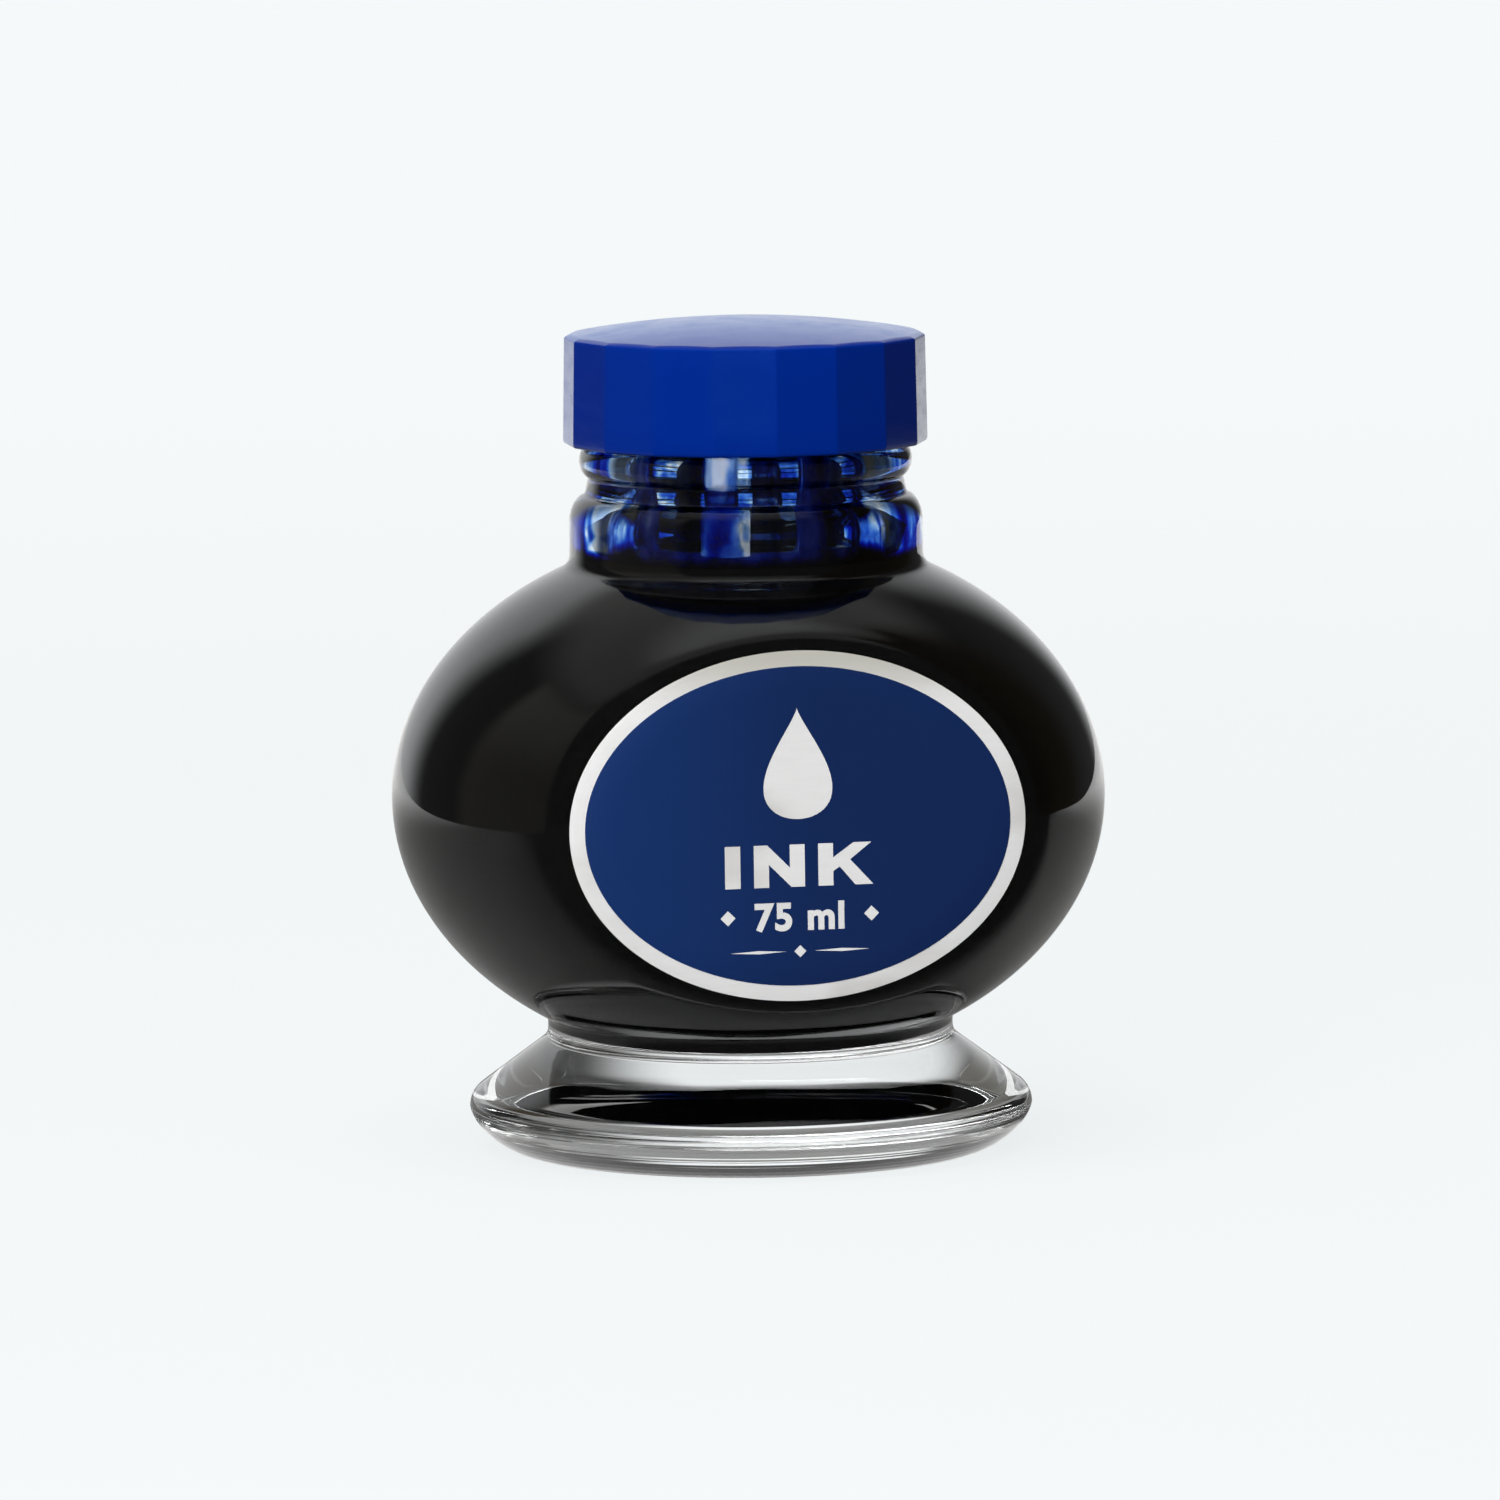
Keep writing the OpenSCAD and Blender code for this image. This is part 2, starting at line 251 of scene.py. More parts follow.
def foot_outline():
    ridge = (FOOT_R - RIDGE_ROUND, RIDGE_Z)
    cone = math.radians(CONE_ANGLE)
    cone_start = (ridge[0] + RIDGE_ROUND * math.sin(cone), ridge[1] + RIDGE_ROUND * math.cos(cone))
    waist = (WAIST_R, cone_start[1] + (cone_start[0] - WAIST_R) * math.tan(cone))
    underside = [(REST_IN * i / 9, PUSH_UP * (1 - (i / 9) ** 2)) for i in range(10)]
    return (underside
            + rippled(rim_bevel(REST_OUT, FOOT_R, RIDGE_Z, RIM_SQUARE))
            + arc(ridge, RIDGE_ROUND, RIDGE_ROUND, 0, 90 - CONE_ANGLE, 0.25)
            + fillet(waist, 180 - CONE_ANGLE, 90, CONE_FILLET))


def body_outline():
    waist_slope = ellipse_slope(BODY_R, BODY_DROP, WAIST_R)
    neck_slope = ellipse_slope(BODY_R, BODY_RISE, NECK_R)
    waist = (WAIST_R, ellipse_z(BODY_R, -BODY_DROP, BODY_Z, WAIST_R))
    neck = (NECK_R, ellipse_z(BODY_R, BODY_RISE, BODY_Z, NECK_R))
    return (fillet(waist, 90, waist_slope, WAIST_FILLET)
            + quarter(BODY_R, -BODY_DROP, BODY_Z, WAIST_R + WAIST_FILLET, BODY_R)
            + quarter(BODY_R, BODY_RISE, BODY_Z, BODY_R, NECK_R + NECK_FILLET)
            + fillet(neck, 180 - neck_slope, 90, NECK_FILLET))


def neck_outline():
    return (arc((NOTCH_R, NECK_TOP_Z), NECK_R - NOTCH_R, NOTCH_Z - NECK_TOP_Z, 0, 80, 0.2)
            + arc((NOTCH_R - 0.3, BEAD_Z), BEAD_R - NOTCH_R + 0.3, BEAD_HALF, -75, 75, 0.2)
            + [(FINISH_R, BEAD_Z + BEAD_HALF + 0.2)]
            + arc((FINISH_R - RIM_ROUND, RIM_Z - RIM_ROUND), RIM_ROUND, RIM_ROUND, 0, 90, 0.12)
            + arc((BORE_R + BORE_ROUND, RIM_Z - BORE_ROUND), BORE_ROUND, BORE_ROUND, 90, 180, 0.1))


def outer_outline():
    outline = softened(even(foot_outline() + body_outline() + neck_outline(), 1.1), 1)
    below = [p for p in outline if p[1] <= BEAD_Z + 1.5]
    above = [p for p in outline if p[1] > BEAD_Z + 1.5]
    return below + even(above, 0.2)


def hollow_outline():
    """The bottle's inside, from the bore's top edge down to the middle of its floor."""
    up = (squared_floor(HOLLOW_R, HOLLOW_DROP, HOLLOW_Z, HOLLOW_SQUARE)
          + quarter(HOLLOW_R, HOLLOW_RISE, HOLLOW_Z, HOLLOW_R, NECK_HOLLOW_R)
          + [(NECK_HOLLOW_R, NECK_TOP_Z + 1.3), (BORE_R, NECK_TOP_Z + 5), (BORE_R, RIM_Z - 0.5)])
    return softened(even(up[::-1], 1.0), 2)


# ---------------------------------------------------------------- meshes
def smooth_low(value, limit, blend):
    """The lower of value and limit, with the corner between them rounded."""
    h = min(1.0, max(0.0, 0.5 + 0.5 * (limit - value) / blend))
    return limit * (1 - h) + value * h - blend * h * (1 - h)


def smooth_step(x, low, high):
    t = min(1.0, max(0.0, (x - low) / (high - low)))
    return t * t * (3 - 2 * t)


def ring(r, z, angles, panel=None):
    """A ring of points, flattened where it would pass a panel at |y| = panel."""
    points = []
    for a in angles:
        x, y = r * math.cos(a), r * math.sin(a)
        if panel is not None and abs(y) > panel - 2 * PANEL_ROUND:
            y = math.copysign(smooth_low(abs(y), panel, PANEL_ROUND), y)
        points.append((x, y, z))
    return points


def even_angles(count=AROUND):
    return [2 * math.pi * i / count for i in range(count)]


def ridge_height(angle, z, z0, span):
    """From 0 at the wall to 1 at the crest of a thread ridge that climbs LEAD a turn."""
    best = 0.0
    turns = math.degrees(angle)
    while turns < span[1]:
        if turns > span[0]:
            away = abs(z - (z0 + LEAD * turns / 360))
            shape = 1 - smooth_step(away, THREAD_CREST / 2, THREAD_FOOT / 2)
            fade = min(1.0, (turns - span[0]) / RUNOUT, (span[1] - turns) / RUNOUT)
            best = max(best, shape * smooth_step(fade, 0, 1))
        turns += 360
    return best


def mesh_object(name, rings, closed=False, sharp=40):
    """A mesh skinned over rings of points; a ring of one point closes it, closed joins last to first."""
    bm = bmesh.new()
    made = [[bm.verts.new([c * MM for c in p]) for p in points] for points in rings]
    pairs = list(zip(made, made[1:]))
    if closed:
        pairs.append((made[-1], made[0]))
    for a, b in pairs:
        count = max(len(a), len(b))
        for i in range(count):
            j = (i + 1) % count
            corners = []
            for v in (a[i % len(a)], a[j % len(a)], b[j % len(b)], b[i % len(b)]):
                if v not in corners:
                    corners.append(v)
            bm.faces.new(corners)
    bmesh.ops.recalc_face_normals(bm, faces=bm.faces)
    mesh = bpy.data.meshes.new(name)
    bm.to_mesh(mesh)
    bm.free()
    mesh.shade_smooth()
    mesh.set_sharp_from_angle(angle=math.radians(sharp))
    piece = bpy.data.objects.new(name, mesh)
    bpy.context.scene.collection.objects.link(piece)
    return piece


def place(piece, body, slot, material, *nodes):
    """Gives a piece its material and body, and hides the CAD nodes it stands for; slot is not used."""
    piece.data.materials.clear()
    piece.data.materials.append(material)
    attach(piece, body)
    if nodes:
        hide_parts(*nodes)
    return piece


# ---------------------------------------------------------------- node helpers
def new_material(name):
    material = bpy.data.materials.new(name)
    material.use_nodes = True
    return material, material.node_tree, material.node_tree.nodes["Principled BSDF"]


def add(tree, kind, **settings):
    node = tree.nodes.new(kind)
    for key, value in settings.items():
        setattr(node, key, value)
    return node


def put(socket, value):
    """Joins a socket to another socket, or sets its value."""
    if isinstance(value, bpy.types.NodeSocket):
        socket.id_data.links.new(value, socket)
    else:
        socket.default_value = value


def math_node(tree, operation, *values):
    node = add(tree, "ShaderNodeMath", operation=operation)
    for i, value in enumerate(values):
        put(node.inputs[i], value)
    return node.outputs[0]


def ramp(tree, value, low, high, out_low=0.0, out_high=1.0, smooth=True):
    """value's place between low and high, as a number from out_low to out_high."""
    node = add(tree, "ShaderNodeMapRange", interpolation_type="SMOOTHSTEP" if smooth else "LINEAR")
    for i, v in enumerate((value, low, high, out_low, out_high)):
        put(node.inputs[i], v)
    return node.outputs[0]


def mix(tree, share, a, b):
    node = add(tree, "ShaderNodeMix", data_type="RGBA")
    put(node.inputs["Factor"], share)
    put(node.inputs[6], a)
    put(node.inputs[7], b)
    return node.outputs[2]


def place_vector(tree, scale=(1, 1, 1)):
    """Object coordinates, stretched by scale."""
    where = add(tree, "ShaderNodeTexCoord")
    mapping = add(tree, "ShaderNodeMapping")
    put(mapping.inputs["Vector"], where.outputs["Object"])
    put(mapping.inputs["Scale"], scale)
    return mapping.outputs[0]


def place_axes(tree):
    """Object coordinates in metres, as x, y and z."""
    axes = add(tree, "ShaderNodeSeparateXYZ")
    put(axes.inputs[0], place_vector(tree))
    return axes.outputs


def noise_of(tree, vector, scale, detail=3.0, rough=0.5):
    node = add(tree, "ShaderNodeTexNoise")
    put(node.inputs["Vector"], vector)
    put(node.inputs["Scale"], scale)
    put(node.inputs["Detail"], detail)
    put(node.inputs["Roughness"], rough)
    return node.outputs["Fac"]


def bump(tree, height, strength, distance):
    node = add(tree, "ShaderNodeBump")
    put(node.inputs["Height"], height)
    put(node.inputs["Strength"], strength)
    put(node.inputs["Distance"], distance)
    return node.outputs["Normal"]


# ---------------------------------------------------------------- materials
def glass_material():
    material, tree, shader = new_material("clear_glass")
    put(shader.inputs["Transmission Weight"], 1.0)
    put(shader.inputs["IOR"], 1.5)
    tint = noise_of(tree, place_vector(tree), 40)
    put(shader.inputs["Base Color"], mix(tree, tint, (0.965, 0.985, 0.975, 1), (0.985, 0.995, 0.992, 1)))
    smudge = noise_of(tree, place_vector(tree), 90, 5, 0.6)
    put(shader.inputs["Roughness"], ramp(tree, smudge, 0.5, 0.75, 0.0, 0.035))
    wave = noise_of(tree, place_vector(tree), 70, 1)
    put(shader.inputs["Normal"], bump(tree, wave, 0.25, 0.0002))
    return material


def ink_material():
    material, tree, shader = new_material("ink")
    cloud = noise_of(tree, place_vector(tree), 60, 3)
    black = mix(tree, cloud, (0.0022, 0.0021, 0.0019, 1), (0.0036, 0.0036, 0.004, 1))
    put(shader.inputs["Base Color"], black)
    put(shader.inputs["Roughness"], ramp(tree, cloud, 0.3, 0.7, 0.04, 0.12))
    put(shader.inputs["IOR"], 1.0)
    return material


def well_material():
    material, tree, shader = new_material("well_ink")
    cloud = noise_of(tree, place_vector(tree), 90, 2)
    put(shader.inputs["Base Color"], mix(tree, cloud, (0.001, 0.002, 0.02, 1), (0.002, 0.004, 0.04, 1)))
    put(shader.inputs["Roughness"], ramp(tree, cloud, 0.3, 0.7, 0.02, 0.06))
    put(shader.inputs["IOR"], 1.34)
    return material


def film_material():
    """Ink that wets the inside of the neck. Its thickness is in the mesh's film attribute."""
    material, tree, shader = new_material("ink_film")
    tree.nodes.remove(shader)
    thickness = add(tree, "ShaderNodeAttribute", attribute_name="film").outputs["Fac"]
    fine = noise_of(tree, place_vector(tree, (1, 1, 0.45)), 900, 4, 0.6)
    depth = math_node(tree, "MULTIPLY", thickness, ramp(tree, fine, 0.25, 0.75, 0.7, 1.3))
    tint = add(tree, "ShaderNodeCombineColor")
    for i, passed in enumerate((0.07, 0.21, 0.66)):
        put(tint.inputs[i], math_node(tree, "POWER", passed, depth))
    clear = add(tree, "ShaderNodeBsdfTransparent")
    put(clear.inputs["Color"], tint.outputs[0])
    put(tree.nodes["Material Output"].inputs["Surface"], clear.outputs[0])
    return material


def cap_material():
    material, tree, shader = new_material("blue_plastic")
    cloud = noise_of(tree, place_vector(tree), 120, 3)
    side = mix(tree, cloud, (0.0003, 0.016, 0.205, 1), (0.0004, 0.019, 0.235, 1))
    # painted light: the dome is a little lighter and bluer than the sides, as if lit from above
    painted_top_light = ramp(tree, place_axes(tree)[2], (BROW_Z - BROW_ROUND) * MM, TOP_Z * MM)
    plain = mix(tree, painted_top_light, side, (0.001, 0.034, 0.26, 1))
    # painted sheen: the base colour turns a lighter blue where the surface is seen edge-on
    glance = add(tree, "ShaderNodeLayerWeight")
    painted_sheen = ramp(tree, glance.outputs["Facing"], 0.72, 0.96)
    put(shader.inputs["Base Color"], mix(tree, painted_sheen, plain, (0.004, 0.095, 0.42, 1)))
    put(shader.inputs["Specular Tint"], (0.12, 0.45, 1, 1))
    haze = noise_of(tree, place_vector(tree, (1, 1, 3)), 260, 6, 0.65)
    put(shader.inputs["Roughness"], ramp(tree, haze, 0.3, 0.8, 0.14, 0.26))
    put(shader.inputs["IOR"], 1.46)
    scratch = noise_of(tree, place_vector(tree, (1, 1, 14)), 420, 4, 0.6)
    put(shader.inputs["Normal"], bump(tree, scratch, 0.08, 0.00004))
    return material


def insert_material():
    material, tree, shader = new_material("insert_plastic")
    stain = noise_of(tree, place_vector(tree, (1, 1, 0.5)), 160, 4, 0.6)
    wet = ramp(tree, place_axes(tree)[2], 0.0800, 0.0745, 0, 1)
    share = ramp(tree, math_node(tree, "ADD", stain, wet), 0.42, 0.78)
    put(shader.inputs["Base Color"], mix(tree, share, (0.52, 0.60, 0.78, 1), (0.006, 0.018, 0.16, 1)))
    put(shader.inputs["Roughness"], ramp(tree, share, 0, 1, 0.35, 0.12))
    put(shader.inputs["Subsurface Weight"], 0.2)
    put(shader.inputs["Subsurface Radius"], (0.0010, 0.0012, 0.0016))
    put(shader.inputs["Subsurface Scale"], 1.0)
    return material


def liner_material():
    material, tree, shader = new_material("liner_foam")
    cells = add(tree, "ShaderNodeTexVoronoi")
    put(cells.inputs["Vector"], place_vector(tree))
    put(cells.inputs["Scale"], 2200)
    spread = noise_of(tree, place_vector(tree), 140, 4, 0.6)
    where = add(tree, "ShaderNodeVectorMath", operation="LENGTH")
    put(where.inputs[0], place_vector(tree, (1, 1, 0)))
    ring_in = ramp(tree, where.outputs["Value"], 0.0095, 0.0118)
    ring_out = ramp(tree, where.outputs["Value"], 0.0138, 0.0152, 1, 0)
    stain = math_node(tree, "MULTIPLY", math_node(tree, "MULTIPLY", ring_in, ring_out), spread)
    put(shader.inputs["Base Color"],
        mix(tree, ramp(tree, stain, 0.18, 0.55), (0.80, 0.80, 0.77, 1), (0.05, 0.10, 0.45, 1)))
    put(shader.inputs["Roughness"], ramp(tree, spread, 0.2, 0.8, 0.55, 0.75))
    put(shader.inputs["Normal"], bump(tree, cells.outputs["Distance"], 0.3, 0.00004))
    return material


def foil_material():
    material, tree, shader = new_material("silver_foil")
    streak = noise_of(tree, place_vector(tree, (1, 1, 9)), 240, 4, 0.6)
    dull = ramp(tree, noise_of(tree, place_vector(tree, (1, 1, 1.4)), 42, 3, 0.6), 0.5, 0.72)
    bright = mix(tree, streak, (0.90, 0.905, 0.90, 1), (0.97, 0.97, 0.97, 1))
    clouded = mix(tree, dull, bright, (0.68, 0.67, 0.64, 1))
    # painted reflection: the foil is darker and warmer towards its top, as it mirrors something dark
    painted_dark_top = ramp(tree, place_axes(tree)[2], 0.046, 0.053)
    put(shader.inputs["Base Color"], mix(tree, painted_dark_top, clouded, (0.56, 0.55, 0.49, 1)))
    put(shader.inputs["Metallic"], 0.3)
    put(shader.inputs["Roughness"], ramp(tree, streak, 0.25, 0.75, 0.34, 0.5))
    grain = noise_of(tree, place_vector(tree), 3200, 2)
    put(shader.inputs["Normal"], bump(tree, grain, 0.12, 0.00002))
    return material


def print_material():
    material, tree, shader = new_material("blue_print")
    grain = noise_of(tree, place_vector(tree), 5200, 2)
    cloud = noise_of(tree, place_vector(tree), 60, 3)
    share = math_node(tree, "MULTIPLY_ADD", grain, 0.5, math_node(tree, "MULTIPLY", cloud, 0.5))
    # painted light: the print is lighter towards its left side, where the light falls
    right = mix(tree, share, (0.0036, 0.0150, 0.070, 1), (0.0056, 0.0205, 0.092, 1))
    left = mix(tree, share, (0.0046, 0.0225, 0.104, 1), (0.0066, 0.0300, 0.134, 1))
    painted_light_share = ramp(tree, place_axes(tree)[0], 0.004, -0.018)
    put(shader.inputs["Base Color"], mix(tree, painted_light_share, right, left))
    put(shader.inputs["Roughness"], ramp(tree, grain, 0.2, 0.8, 0.3, 0.42))
    put(shader.inputs["Specular IOR Level"], 0.35)
    put(shader.inputs["Normal"], bump(tree, grain, 0.1, 0.00001))
    return material


# ---------------------------------------------------------------- the object's pieces
def make_glass(material):
    angles = even_angles()
    rings = []
    for r, z in outer_outline():
        if r < 1e-6:
            rings.append([(0, 0, z)])
        elif FINISH_R - 0.02 < r < FINISH_R + 0.02 and z > BEAD_Z:
            points = []
            for a in angles:
                crest = ridge_height(a, z, GLASS_THREAD_Z, GLASS_THREAD)
                points += ring(r + (GLASS_CREST_R - FINISH_R) * crest, z, [a])
            rings.append(points)
        else:
            panel = PANEL_Y if PANEL_FROM < z < PANEL_TO else None
            rings.append(ring(r, z, angles, panel))
    for r, z in hollow_outline():
        rings.append([(0, 0, z)] if r < 1e-6 else ring(r, z, angles, HOLLOW_PANEL_Y))
    piece = mesh_object("glass_flask", rings, sharp=60)
    return place(piece, "bottle", "clear_glass", material, "glass_bottle")


def insert_outside(grow=0.0):
    """The cup's outside, from its lowest point up to the flange."""
    return ([(0.0, CUP_Z - grow)]
            + arc((CUP_END_R - CUP_ROUND, CUP_Z + CUP_ROUND), CUP_ROUND + grow, CUP_ROUND + grow, -90, 0, 0.5)
            + [(CUP_TOP_R + grow, WINDOW_LOW - 1), (COLLAR_R + grow, NOTCH_Z)])


def make_ink(material):
    wall = offset(hollow_outline()[::-1], INK_BITE)
    wall = [p for p in wall if p[1] < INK_Z + 0.8]
    meniscus = [(13.5, 0.30), (13.0, 0.08), (12.4, 0.0), (11.9, 0.1), (11.5, 0.4)]
    top = [(r, INK_Z + lift) for r, lift in meniscus]
    cup = [p for p in even(insert_outside(-INK_BITE), 1.0) if p[1] < INK_Z + 0.3][::-1]
    angles = even_angles(144)
    rings = []
    for r, z in wall:
        rings.append([(0, 0, z)] if r < 1e-6 else ring(r, z, angles, HOLLOW_PANEL_Y + INK_BITE))
    for r, z in top + cup:
        rings.append([(0, 0, z)] if r < 1e-6 else ring(r, z, angles))
    piece = mesh_object("ink_body", rings)
    return place(piece, "bottle", "ink", material, "ink_fill")


def make_well(material):
    wall = CUP_WALL + 0.05
    corner = CUP_ROUND - wall
    inside = ([(0.0, CUP_Z + wall)]
              + arc((CUP_END_R - CUP_ROUND, CUP_Z + CUP_ROUND), corner, corner, -90, 0, 0.4)
              + [(CUP_TOP_R - wall, WINDOW_LOW - 1)])
    meniscus = [(10.28, 0.0), (10.05, 0.35), (9.7, 0.6), (8.9, 0.8), (5.85, 0.9), (0.0, 0.9)]
    top = [(r, WELL_INK_Z - drop) for r, drop in meniscus]
    angles = even_angles(96)
    rings = [[(0, 0, z)] if r < 1e-6 else ring(r, z, angles) for r, z in even(inside, 1.5) + top]
    piece = mesh_object("ink_well", rings)
    return place(piece, "bottle", "ink", material, "well_ink")


FILM_DEPTH = 0.34                # the film's usual thickness; 1 passes the tint once
FILM_LEAST = 0.03
RUN_DEPTH = 0.9                  # what a run adds in its middle
POOL_DEPTH = 3.0                 # what is added just above the ink's surface
# Thin or bare spots in the film: degrees from the camera's side, height, half width in
# degrees, half height in mm, how much of the film is gone.
FILM_SPOTS = [(-66, 64.0, 9, 2.2, 0.85), (-67, 60.8, 8, 1.3, 0.8), (-42, 60.3, 3.4, 1.6, 0.9),
              (2, 61.6, 3.2, 1.9, 0.55), (9, 61.4, 2.6, 1.4, 0.6), (16, 62.9, 2.8, 1.0, 0.75),
              (38, 61.5, 2.4, 2.2, 0.6), (60, 64.0, 8, 1.6, 0.7), (62, 61.8, 7, 1.0, 0.6),
              (47, 61.5, 4.0, 3.6, 0.45), (-25, 61.2, 3.5, 1.8, 0.45), (-7, 60.6, 3.5, 1.5, 0.4),
              (-62, 68.5, 11, 1.4, 0.85), (68, 68.5, 12, 1.6, 0.8), (5, 69.0, 14, 1.2, 0.15),
              (14, 66.6, 8, 0.9, 0.55), (-30, 68.8, 9, 1.2, 0.3)]
# Dark upright runs of ink: degrees from the camera's side, half width in degrees.
FILM_RUNS = [(-43, 2.2), (-22, 2.6), (10.5, 1.6), (33, 2.2), (49, 1.8), (76, 2.0), (-80, 2.0)]


def film_at(angle, z):
    """How thick the ink film is at an angle round the neck and a height."""
    side = math.degrees(angle) + 90 - CAMERA_AZ
    side = (side + 180) % 360 - 180
    point = Vector((math.cos(angle) * 14, math.sin(angle) * 14, z * 0.45))
    streaks = 0.75 * noise.fractal(point * 0.33, 0.7, 2.1, 4) + 0.25 * noise.noise(point * 1.3)
    thickness = FILM_DEPTH + streaks
    for at, width in FILM_RUNS:
        thickness += RUN_DEPTH * math.exp(-((side - at) / width) ** 2)
    for at, height, half_w, half_h, gone in FILM_SPOTS:
        far = math.hypot((side - at) / half_w, (z - height) / half_h)
        thickness *= 1 - gone * (1 - smooth_step(far, 0.75, 1.1))
    thickness += POOL_DEPTH * (1 - smooth_step(z, INK_Z + 0.3, INK_Z + 1.8))
    return max(FILM_LEAST, thickness)


def make_film(material):
    """A thin shell in the glass, just behind the neck's inner face, so that it tints what that mirrors."""
    wall = [p for p in hollow_outline()[::-1] if INK_Z + 0.2 < p[1] < RIM_Z - 1.5 and p[0] < 15]
    wall = even(wall, 0.2)
    near, far = offset(wall, 0.03), offset(wall, 0.08)
    angles = even_angles()
    rings = [ring(r, z, angles) for r, z in near + far[::-1]]
    piece = mesh_object("ink_film", rings, closed=True)
    layer = piece.data.attributes.new("film", "FLOAT", "POINT")
    values = [film_at(math.atan2(v.co.y, v.co.x), v.co.z / MM) for v in piece.data.vertices]
    layer.data.foreach_set("value", values)
    return place(piece, "bottle", "ink", material)


def insert_middle():
    """The middle of the cup's wall, from the middle of its floor up to the flange's edge."""
    half = CUP_WALL / 2
    corner = CUP_ROUND - half
    low = ([(0.0, CUP_Z + half)]
           + arc((CUP_END_R - CUP_ROUND, CUP_Z + CUP_ROUND), corner, corner, -75, 0, 0.7))
    side = even([low[-1], (CUP_TOP_R - half, WINDOW_LOW - 1.2)], 6)[1:]
    heights = [WINDOW_LOW, WINDOW_LOW + 1.2, NOTCH_Z, 69.5, WINDOW_HIGH - 1.2, WINDOW_HIGH]
    windows = [(COLLAR_R - half - 0.04 * max(0, NOTCH_Z - z), z) for z in heights]
    flange_z = RIM_Z + FLANGE_T / 2
    flange = [(COLLAR_R - half, 75.5), (COLLAR_R - half, RIM_Z - 0.25), (COLLAR_R - half + 0.25, flange_z),
              (13.0, flange_z), (FLANGE_R - 0.15, flange_z)]
    return low + side + windows + flange


def make_insert(material):
    """The reservoir cup: a turned cage with windows, thickened and rounded by modifiers."""
    half = math.degrees(math.asin(WINDOW_W / 2 / COLLAR_R))
    steps = [-half, -half * 0.6, 0, half * 0.6, half, half + 3, 22.5, 42 - half]
    sector = 360 / WINDOWS
    angles = [math.radians(sector * k + s) for k in range(WINDOWS) for s in steps]
    profile = insert_middle()
    bm = bmesh.new()
    made = []
    for r, z in profile:
        if r < 1e-6:
            made.append([bm.verts.new((0, 0, z * MM))])
        else:
            made.append([bm.verts.new((r * math.cos(a) * MM, r * math.sin(a) * MM, z * MM)) for a in angles])
    heights = [z for _, z in profile]
    for low_ring, high_ring, low, high in zip(made, made[1:], heights, heights[1:]):
        beside_window = low > WINDOW_LOW - 0.1 and high < WINDOW_HIGH + 0.1
        for i in range(len(angles)):
            j = (i + 1) % len(angles)
            if beside_window and i % len(steps) < 4:
                continue
            if len(low_ring) == 1:
                bm.faces.new((low_ring[0], high_ring[j], high_ring[i]))
            else:
                bm.faces.new((low_ring[i], low_ring[j], high_ring[j], high_ring[i]))
    bmesh.ops.recalc_face_normals(bm, faces=bm.faces)
    mesh = bpy.data.meshes.new("reservoir_cup")
    bm.to_mesh(mesh)
    bm.free()
    mesh.shade_smooth()
    piece = bpy.data.objects.new("reservoir_cup", mesh)
    bpy.context.scene.collection.objects.link(piece)
    thick = piece.modifiers.new("wall", "SOLIDIFY")
    thick.thickness = 0.78 * MM
    thick.offset = 0
    thick.use_even_offset = True
    rounded = piece.modifiers.new("rounding", "SUBSURF")
    rounded.levels = 2
    rounded.render_levels = 2
    return place(piece, "bottle", "insert_plastic", material, "reservoir_insert")


def side_radius(angle, apothem, rounding):
    """Distance from the axis to the flat-sided outline, its corners rounded."""
    half = math.pi / CAP_SIDES
    turn = angle - math.radians(CAP_PHASE - 90)
    turn = abs((turn + half) % (2 * half) - half)
    centre = (apothem - rounding) / math.cos(half)
    if turn < math.atan(centre * math.sin(half) / apothem):
        return apothem / math.cos(turn)
    off = half - turn
    return centre * math.cos(off) + math.sqrt(rounding ** 2 - (centre * math.sin(off)) ** 2)


def cap_angles():
    """Columns close together at each rounded corner of the cap."""
    half = 180 / CAP_SIDES
    steps = [-0.94, -0.88, -0.6, -0.3, 0.0, 0.3, 0.6, 0.88, 0.94, 0.965, 0.985, 1.0, 1.015, 1.035]
    return [math.radians(CAP_PHASE - 90 + 2 * half * k + half * s) for k in range(CAP_SIDES) for s in steps]


